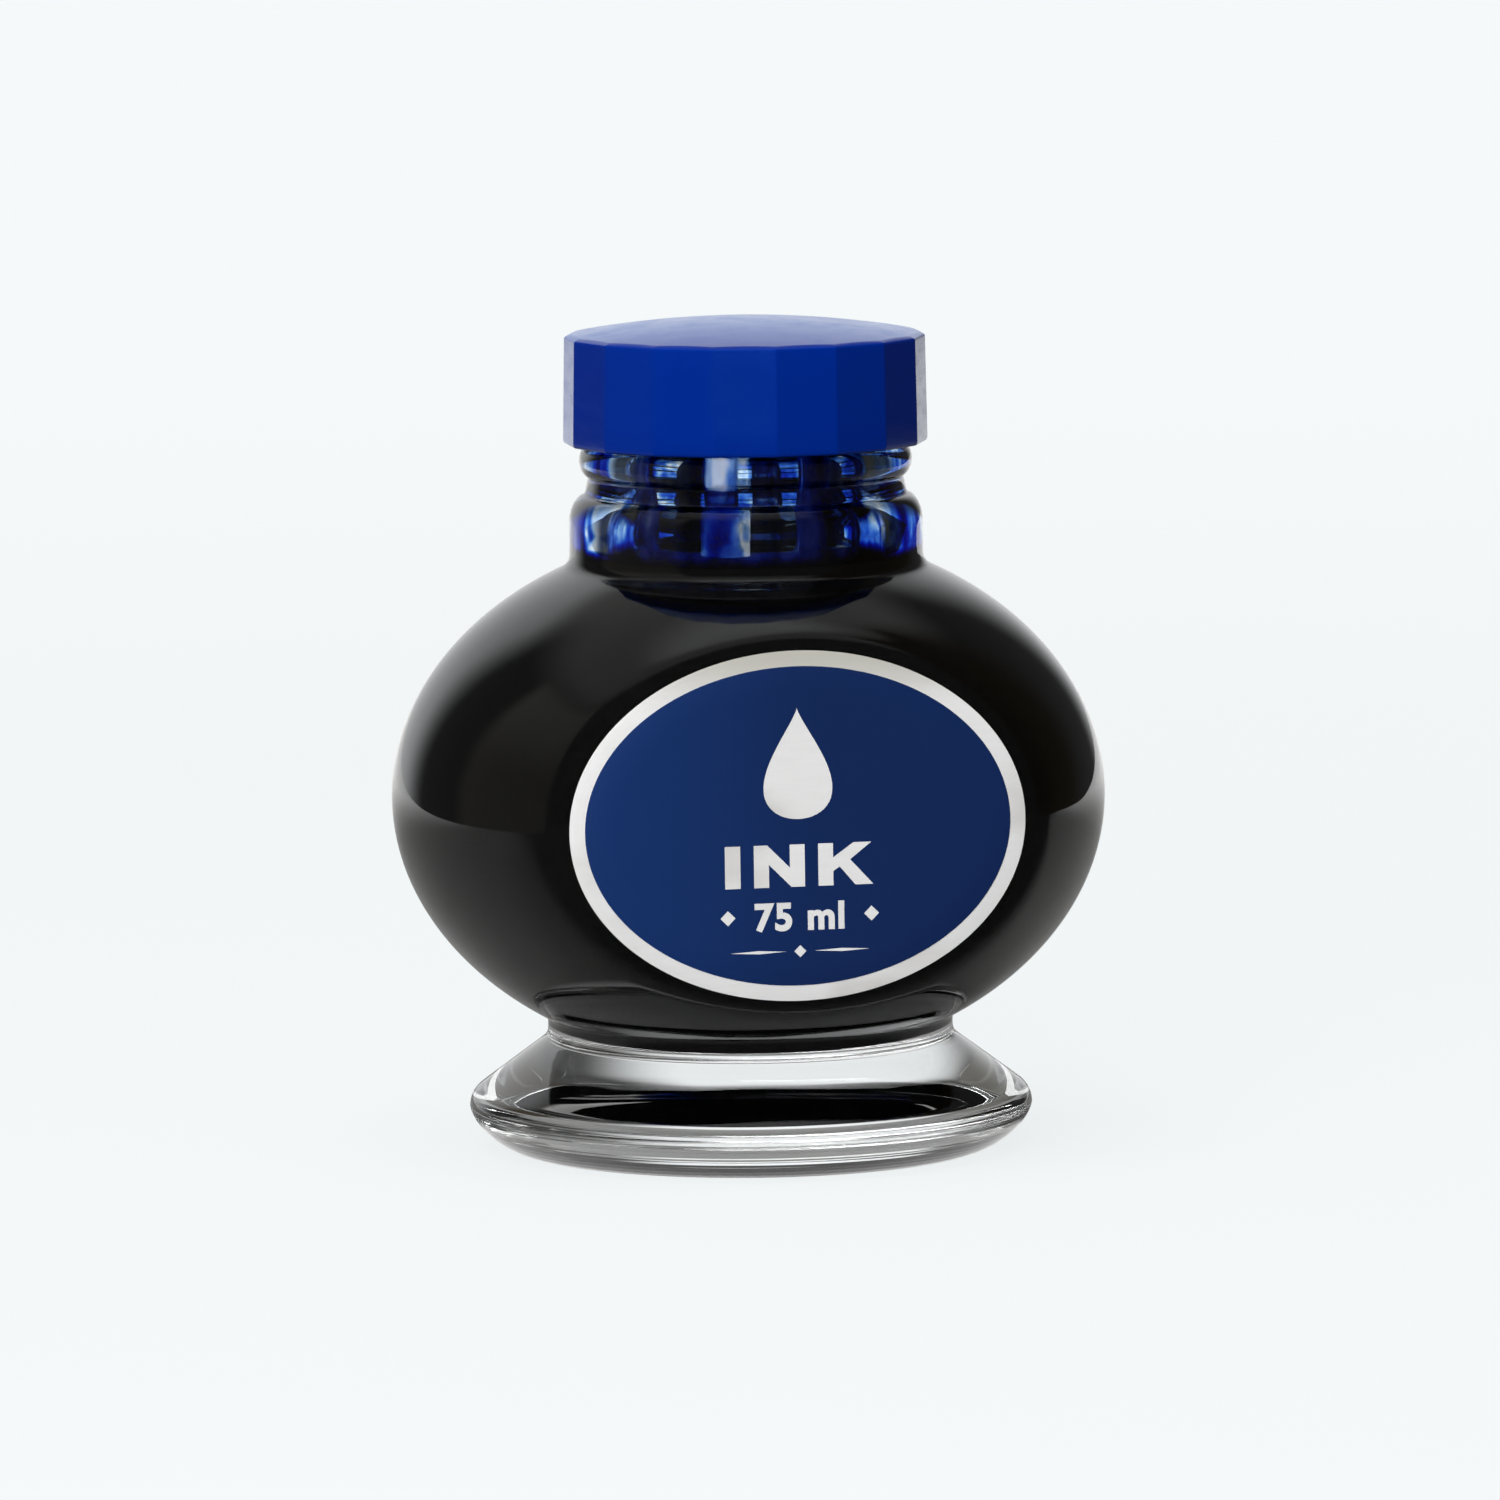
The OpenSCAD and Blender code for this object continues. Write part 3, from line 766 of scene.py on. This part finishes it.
def make_cap(material):
    angles = cap_angles()
    half = math.pi / CAP_SIDES
    apothem = CAP_R * math.cos(half)
    dome_rise = TOP_Z - BROW_Z
    dome_r = (CAP_R ** 2 + dome_rise ** 2) / (2 * dome_rise)
    rings = [[(0, 0, CEILING_Z)]]
    for r in (4, 8, 12, 14.5):
        rings.append(ring(r, CEILING_Z, angles))
    corner = (CAP_BORE_R - CEILING_ROUND, CEILING_Z - CEILING_ROUND)
    for r, z in arc(corner, CEILING_ROUND, CEILING_ROUND, 90, 0, 0.15):
        rings.append(ring(r, z, angles))
    for r, z in even([(CAP_BORE_R, CEILING_Z - 0.7), (CAP_BORE_R, SKIRT_Z + MOUTH_CHAMFER)], 0.16):
        points = []
        for a in angles:
            crest = ridge_height(a % (2 * math.pi), z, GLASS_THREAD_Z - LEAD / 2, CAP_THREAD)
            points += ring(r - (CAP_BORE_R - CAP_CREST_R) * crest, z, [a])
        rings.append(points)
    rings.append(ring(CAP_BORE_R + 0.07, SKIRT_Z + 0.07, angles))
    rings.append(ring(CAP_BORE_R + MOUTH_CHAMFER, SKIRT_Z, angles))
    side = [(0.34, SKIRT_Z), (0.16, SKIRT_Z + 0.06), (0.05, SKIRT_Z + 0.2), (0.0, SKIRT_Z + SKIRT_ROUND)]
    straight = BROW_Z - BROW_ROUND - SKIRT_Z - SKIRT_ROUND
    side += [(CAP_DRAFT * t, SKIRT_Z + SKIRT_ROUND + straight * t) for t in (0.25, 0.5, 0.75, 1)]
    for t in (15, 35, 55, 75):
        side.append((CAP_DRAFT + BROW_ROUND * (1 - math.cos(math.radians(t))),
                     BROW_Z - BROW_ROUND + BROW_ROUND * math.sin(math.radians(t))))
    for inset, z in side:
        rings.append([p for a in angles for p in ring(side_radius(a, apothem - inset, CAP_CORNER), z, [a])])
    for share in (0.975, 0.955, 0.92, 0.85, 0.75, 0.62, 0.48, 0.34, 0.2, 0.08):
        points = []
        for a in angles:
            flat = side_radius(a, apothem - CAP_DRAFT, CAP_CORNER) * share
            turned = CAP_R * share
            r = flat + (turned - flat) * (1 - share)
            z = TOP_Z - dome_r + math.sqrt(dome_r ** 2 - r ** 2)
            points.append((r * math.cos(a), r * math.sin(a), z))
        rings.append(points)
    rings.append([(0, 0, TOP_Z)])
    piece = mesh_object("screw_cap", rings, sharp=70)
    return place(piece, "cap", "blue_plastic", material, "cap")


def make_liner(material):
    """The sealing disc, with the ring that the flange has pressed into its underside."""
    low, high = liner_low.z / MM, liner_high.z / MM
    edge = liner_high.x / MM
    pressed = [(0.0, 0.05), (9.6, 0.05), (10.3, 0.1), (10.8, 0.24), (12.5, 0.27), (14.0, 0.24),
               (14.4, 0.08), (14.8, 0.0)]
    profile = ([(r, low + lift) for r, lift in pressed]
               + arc((edge - 0.2, low + 0.2), 0.2, 0.2, -90, 0, 0.08)
               + arc((edge - 0.2, high - 0.2), 0.2, 0.2, 0, 90, 0.08) + [(0.0, high)])
    angles = even_angles(144)
    rings = [[(0, 0, z)] if r < 1e-6 else ring(r, z, angles) for r, z in even(profile, 1.2)]
    piece = mesh_object("sealing_disc", rings)
    return place(piece, "liner", "liner_foam", material, "cap_liner")


# ---------------------------------------------------------------- the label
LABEL_Z = (foil_low.z + foil_high.z) / 2 / MM
LABEL_TILT = math.radians(0.4)
FOIL_HALF = ((foil_high.x - foil_low.x) / 2 / MM, (foil_high.z - foil_low.z) / 2 / MM)
PRINT_HALF = ((print_high.x - print_low.x) / 2 / MM, (print_high.z - print_low.z) / 2 / MM)
FOIL_FRONT = -foil_low.y / MM
PRINT_FRONT = -print_low.y / MM
RAISED = 0.012                   # how far the silver ornaments stand out from the print


def on_label(x, up, out):
    """A point on the label's plane: x and up from its middle, out in front of the bottle's axis."""
    c, s = math.cos(LABEL_TILT), math.sin(LABEL_TILT)
    return (x * c - up * s, -out, LABEL_Z + x * s + up * c)


def oval(name, half, back, front, rounding):
    """An oval plate whose front edge is rounded."""
    turns = even_angles(192)
    rings = [[on_label(0, 0, back)]]

    def add_ring(share, inset, out):
        wide, tall = half[0] * share - inset, half[1] * share - inset
        rings.append([on_label(wide * math.cos(t), tall * math.sin(t), out) for t in turns])

    for share, out in ((0.5, back), (1.0, back), (1.0, front - rounding)):
        add_ring(share, 0, out)
    for t in (math.radians(30), math.radians(60), math.radians(90)):
        add_ring(1, rounding * (1 - math.cos(t)), front - rounding * (1 - math.sin(t)))
    for share in (0.85, 0.6, 0.3):
        add_ring(share, 0, front)
    rings.append([on_label(0, 0, front)])
    return mesh_object(name, rings, sharp=60)


def plate(name, outlines, out, thickness):
    """Flat shapes on the label, one solid for each closed outline."""
    bm = bmesh.new()
    for outline in outlines:
        back = [bm.verts.new([c * MM for c in on_label(x, up, out - 0.01)]) for x, up in outline]
        front = [bm.verts.new([c * MM for c in on_label(x, up, out + thickness)]) for x, up in outline]
        bm.faces.new(front)
        bm.faces.new(back[::-1])
        for i in range(len(outline)):
            j = (i + 1) % len(outline)
            bm.faces.new((back[i], back[j], front[j], front[i]))
    bmesh.ops.recalc_face_normals(bm, faces=bm.faces)
    bmesh.ops.triangulate(bm, faces=bm.faces)
    mesh = bpy.data.meshes.new(name)
    bm.to_mesh(mesh)
    bm.free()
    piece = bpy.data.objects.new(name, mesh)
    bpy.context.scene.collection.objects.link(piece)
    return piece


def drop_outline(height, width, bottom, count=64):
    """A plain falling drop: round below, drawn to a point above."""
    points = []
    for i in range(count):
        t = 2 * math.pi * i / count
        x = width / 2 * math.sin(t) * math.sin(t / 2) ** 1.6
        up = bottom + height * (1 + math.cos(t)) / 2
        points.append((x, up))
    return points


def word_outlines(height, bottom):
    """The plain word INK in wide upright strokes, centred on the label."""
    h, stroke = height, 1.55
    letter_i = [(0, 0), (stroke, 0), (stroke, h), (0, h)]
    letter_n = [(0, 0), (1.5, 0), (1.5, 0.54 * h), (3.75, 0), (5.1, 0), (5.1, h),
                (3.6, h), (3.6, 0.46 * h), (1.35, h), (0, h)]
    letter_k = [(0, 0), (1.5, 0), (1.5, 0.34 * h), (2.15, 0.44 * h), (3.7, 0), (5.5, 0), (3.2, 0.6 * h),
                (5.35, h), (3.55, h), (1.5, 0.66 * h), (1.5, h), (0, h)]
    space = 1.35
    placed, x = [], 0.0
    for letter, width in ((letter_i, stroke), (letter_n, 5.1), (letter_k, 5.5)):
        placed.append([(x + px, bottom + py) for px, py in letter])
        x += width + space
    middle = (x - space) / 2
    return [[(px - middle, py) for px, py in letter] for letter in placed]


def diamond(x, up, half):
    return [(x, up - half), (x + half, up), (x, up + half), (x - half, up)]


def rule(left, right, up):
    """A thin line that tapers to both ends."""
    middle = (left + right) / 2
    return [(left, up), (middle, up - 0.16), (right, up), (middle, up + 0.16)]


def lettering(name, text, size, middle, up, weight, spacing):
    """A word in Blender's own plain typeface, as a mesh on the label."""
    curve = bpy.data.curves.new(name + "_curve", "FONT")
    curve.body = text
    curve.size = size * MM
    curve.offset = weight * MM
    curve.space_character = spacing
    curve.align_x = "CENTER"
    curve.extrude = 0.01 * MM
    curve.resolution_u = 6
    source = bpy.data.objects.new(name + "_source", curve)
    bpy.context.scene.collection.objects.link(source)
    graph = bpy.context.evaluated_depsgraph_get()
    mesh = bpy.data.meshes.new_from_object(source.evaluated_get(graph))
    bpy.data.objects.remove(source)
    place_at = Vector([c * MM for c in on_label(middle, up, PRINT_FRONT)])
    turn = Matrix.Rotation(math.pi / 2, 4, "X") @ Matrix.Rotation(LABEL_TILT, 4, "Z")
    mesh.transform(Matrix.Translation(place_at) @ turn)
    mesh.name = name
    piece = bpy.data.objects.new(name, mesh)
    bpy.context.scene.collection.objects.link(piece)
    return piece


def make_label(foil, print_blue):
    piece = oval("foil_oval", FOIL_HALF, PANEL_Y - 0.02, FOIL_FRONT, 0.04)
    place(piece, "bottle", "silver_foil", foil, "label_foil")
    piece = oval("print_oval", PRINT_HALF, FOIL_FRONT - 0.01, PRINT_FRONT, 0.03)
    place(piece, "bottle", "blue_print", print_blue, "label_print")
    drop = plate("emblem_drop", [drop_outline(11.0, 10.0, 0.7)], PRINT_FRONT, RAISED)
    place(drop, "bottle", "silver_foil", foil)
    word = plate("label_word", word_outlines(4.2, -6.0), PRINT_FRONT, RAISED)
    place(word, "bottle", "silver_foil", foil)
    amount = lettering("label_amount", "75 ml", 3.7, 0, -10.2, 0.14, 1.1)
    place(amount, "bottle", "silver_foil", foil)
    beside, line = -8.9, -12.4
    marks = [diamond(-7.2, beside, 0.75), diamond(7.2, beside, 0.75), diamond(0, line, 0.6)]
    marks += [rule(-7.0, -1.4, line), rule(1.4, 7.0, line)]
    place(plate("label_marks", marks, PRINT_FRONT, RAISED), "bottle", "silver_foil", foil)


# ---------------------------------------------------------------- the studio
def make_world():
    """A pale backdrop, a bright ceiling, and the darker room on the camera's side."""
    world = bpy.data.worlds.new("studio")
    bpy.context.scene.world = world
    world.use_nodes = True
    tree = world.node_tree
    shader = tree.nodes["Background"]
    where = add(tree, "ShaderNodeTexCoord")
    axes = add(tree, "ShaderNodeSeparateXYZ")
    put(axes.inputs[0], where.outputs["Generated"])
    x, y, z = axes.outputs
    forward = math_node(tree, "MULTIPLY", y, -1.0)
    around = math_node(tree, "DEGREES", math_node(tree, "ARCTAN2", x, forward))
    height = math_node(tree, "DEGREES", math_node(tree, "ARCSINE", z))

    def card(left, right, side_soft, top, top_soft):
        """1 inside a dark part of the room, as seen from the bottle."""
        sides = math_node(tree, "MULTIPLY", ramp(tree, around, left - side_soft, left + side_soft),
                          ramp(tree, around, right + side_soft, right - side_soft))
        return math_node(tree, "MULTIPLY", sides, ramp(tree, height, top + top_soft, top - top_soft))

    grey_band = math_node(tree, "MULTIPLY", ramp(tree, height, 34, 46), ramp(tree, height, 80, 64))
    colour = mix(tree, grey_band, (0.88, 0.90, 0.91, 1), (0.36, 0.36, 0.355, 1))
    colour = mix(tree, card(-150, 150, 10, 48, 8), colour, (0.065, 0.065, 0.065, 1))
    left_card = mix(tree, ramp(tree, height, 12, 42), (0.165, 0.16, 0.145, 1), (0.31, 0.31, 0.285, 1))
    colour = mix(tree, card(-118, -56, 4, 46, 3), colour, left_card)
    colour = mix(tree, card(49, 122, 8, 62, 4), colour, (0.045, 0.036, 0.024, 1))
    path = add(tree, "ShaderNodeLightPath")
    put(shader.inputs["Color"], mix(tree, path.outputs["Is Camera Ray"], colour, BACKDROP))


def board_as_seen(tree, shader, from_foot):
    """The board's own look: the backdrop's pale tone, a little shaded near the foot."""
    away = ramp(tree, from_foot, 0.1, 0.9)
    put(shader.inputs["Base Color"], mix(tree, away, (0.09, 0.093, 0.094, 1), (0, 0, 0, 1)))
    put(shader.inputs["Roughness"], 0.9)
    put(shader.inputs["Specular IOR Level"], 0.0)
    put(shader.inputs["Emission Color"], BACKDROP)
    put(shader.inputs["Emission Strength"], ramp(tree, from_foot, 0.1, 0.9, 0.88, 1.0))


def board_in_glass(tree, from_foot, path):
    """The board as glass mirrors and bends it: painted shade makes it dark in front, a painted glow makes it
    bright far behind and under the foot.
    """
    y = place_axes(tree)[1]
    lit = add(tree, "ShaderNodeBsdfDiffuse")
    # painted shade: the board is darker in front of the bottle, as the glass mirrors it
    behind = ramp(tree, y, -0.05, 0.0)
    put(lit.inputs["Color"], mix(tree, behind, (0.07, 0.07, 0.07, 1), (0.34, 0.34, 0.335, 1)))
    direct = ramp(tree, path.outputs["Glossy Depth"], 1, 0, 0.2, 0.85)
    under = math_node(tree, "MULTIPLY", direct, ramp(tree, from_foot, 0.031, 0.025))
    band = math_node(tree, "MULTIPLY", ramp(tree, from_foot, 0.022, 0.024),
                     ramp(tree, from_foot, 0.031, 0.028, 0, 0.85))
    mirrored = math_node(tree, "MULTIPLY", path.outputs["Glossy Depth"], path.outputs["Transmission Depth"])
    rim = math_node(tree, "MULTIPLY", band, ramp(tree, mirrored, 0, 1, 1, 0.2))
    near = math_node(tree, "MAXIMUM", under, rim)
    far = math_node(tree, "MULTIPLY", ramp(tree, from_foot, 0.16, 0.46, 0, 0.9), ramp(tree, y, 0.03, 0.15))
    # painted light: the board glows under the foot, along the rim's band and far behind
    glow = add(tree, "ShaderNodeEmission")
    put(glow.inputs["Strength"], math_node(tree, "ADD", near, far))
    both = add(tree, "ShaderNodeAddShader")
    put(both.inputs[0], lit.outputs[0])
    put(both.inputs[1], glow.outputs[0])
    return both.outputs[0]


def make_floor():
    """A pale board, which fades into the backdrop away from the bottle."""
    mesh = bpy.data.meshes.new("board")
    outline = [(-0.26, -0.34), (0.30, -0.34), (0.34, 0.2), (1.6, 3.0), (-0.3, 3.0)]
    mesh.from_pydata([(x, y, 0) for x, y in outline], [], [range(len(outline))])
    board = bpy.data.objects.new("board", mesh)
    bpy.context.scene.collection.objects.link(board)
    material, tree, shader = new_material("pale_board")
    length = add(tree, "ShaderNodeVectorMath", operation="LENGTH")
    put(length.inputs[0], place_vector(tree))
    from_foot = length.outputs["Value"]
    board_as_seen(tree, shader, from_foot)
    path = add(tree, "ShaderNodeLightPath")
    surface = add(tree, "ShaderNodeMixShader")
    put(surface.inputs[0], path.outputs["Is Camera Ray"])
    put(surface.inputs[1], board_in_glass(tree, from_foot, path))
    put(surface.inputs[2], shader.outputs[0])
    put(tree.nodes["Material Output"].inputs["Surface"], surface.outputs[0])
    mesh.materials.append(material)


def make_light(name, location, size, energy, colour):
    lamp = bpy.data.lights.new(name, "AREA")
    lamp.shape = "SQUARE"
    lamp.size = size
    lamp.energy = energy
    lamp.color = colour
    light = bpy.data.objects.new(name, lamp)
    light.location = location
    towards = Vector((0, 0, 0.04)) - Vector(location)
    light.rotation_euler = towards.to_track_quat("-Z", "Y").to_euler()
    light.visible_glossy = False
    bpy.context.scene.collection.objects.link(light)


def make_camera():
    a, e = math.radians(CAMERA_AZ), math.radians(CAMERA_EL)
    back = Vector((math.sin(a) * math.cos(e), -math.cos(a) * math.cos(e), math.sin(e)))
    right = Vector((math.cos(a), math.sin(a), 0))
    up = back.cross(right)
    camera = bpy.data.objects.new("camera", bpy.data.cameras.new("camera"))
    target = Vector((0, 0, BODY_Z * MM)) + right * VIEW_RIGHT + up * VIEW_UP
    roll = Matrix.Rotation(math.radians(CAMERA_ROLL), 4, "Z")
    turn = Matrix((right, up, back)).transposed().to_4x4() @ roll
    camera.matrix_world = Matrix.Translation(target + back * CAMERA_DISTANCE) @ turn
    camera.data.sensor_width = SENSOR
    camera.data.lens = SENSOR * CAMERA_DISTANCE / VIEW_WIDTH
    camera.data.clip_start = 0.05
    camera.data.clip_end = 20
    bpy.context.scene.collection.objects.link(camera)
    bpy.context.scene.camera = camera


def make_studio():
    scene = bpy.context.scene
    scene.view_settings.view_transform = "Standard"
    scene.cycles.max_bounces = 20
    scene.cycles.transmission_bounces = 20
    scene.cycles.transparent_max_bounces = 24
    scene.cycles.denoising_input_passes = "RGB_ALBEDO"
    make_world()
    make_floor()
    make_light("top_softbox", (-0.15, -0.25, 1.0), 0.9, 7.0, (1, 1, 1))
    make_light("front_softbox", (-0.55, -1.1, 0.35), 0.9, 18.0, (1, 1, 1))
    make_camera()


make_studio()
make_glass(glass_material())
make_ink(ink_material())
make_well(well_material())
make_film(film_material())
make_insert(insert_material())
make_cap(cap_material())
make_liner(liner_material())
make_label(foil_material(), print_material())
